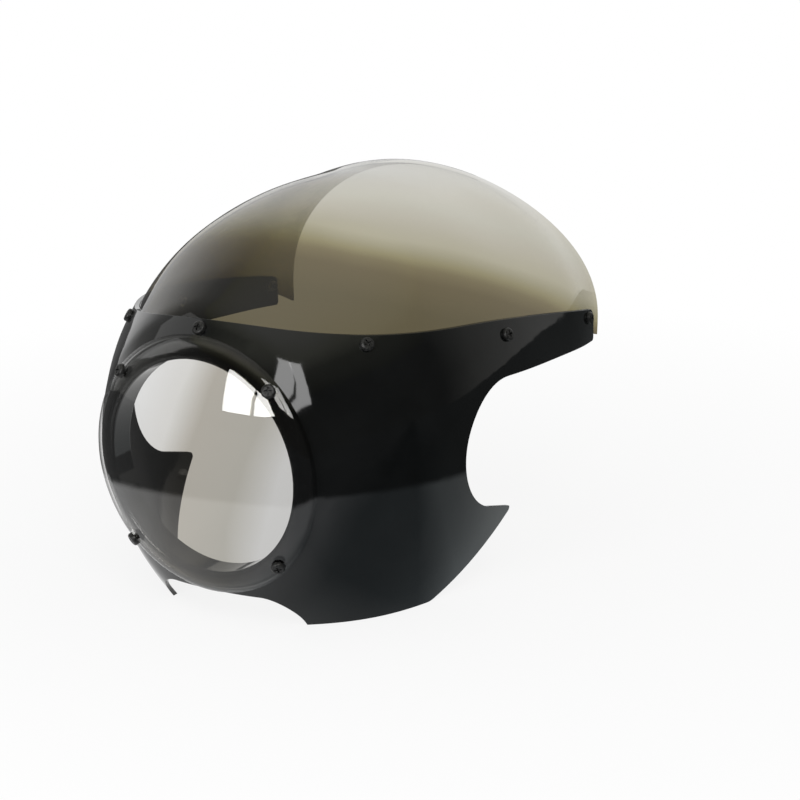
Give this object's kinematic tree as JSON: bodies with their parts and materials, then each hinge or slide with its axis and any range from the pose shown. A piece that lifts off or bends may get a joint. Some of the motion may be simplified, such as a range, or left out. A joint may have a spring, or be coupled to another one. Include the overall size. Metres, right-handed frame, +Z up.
{
  "type": "headlight cowl",
  "caption": "Gloss black motorbike headlight cowl with a round lamp opening, a screwed-on clear domed lens cover, a smoked bubble screen and handlebar cut-outs.",
  "frame": {"origin": "middle of the lamp opening, in the plane where its straight wall starts behind the rounded lip", "axes": "+X to the bike's left, +Y rearward along the lamp opening's axis, +Z up; the cowl faces -Y"},
  "size_m": [0.3298, 0.3691, 0.3026],
  "materials": {
    "shell_plastic": "moulded, high gloss",
    "screen_plastic": "clear smoke tint, high gloss",
    "lens_plastic": "clear, high gloss",
    "screw_black": "black coated, satin",
    "washer_plastic": "matt",
    "nut_steel": "plated",
    "lens_screw_black": "black coated, satin"
  },
  "bodies": {
    "root": {"fairing_shell": "shell_plastic", "windscreen": "screen_plastic", "lens_cover": "lens_plastic", "windscreen_screws": "screw_black", "windscreen_washers": "washer_plastic", "windscreen_nuts": "nut_steel", "lens_screws": "lens_screw_black"}
  },
  "joints": []
}
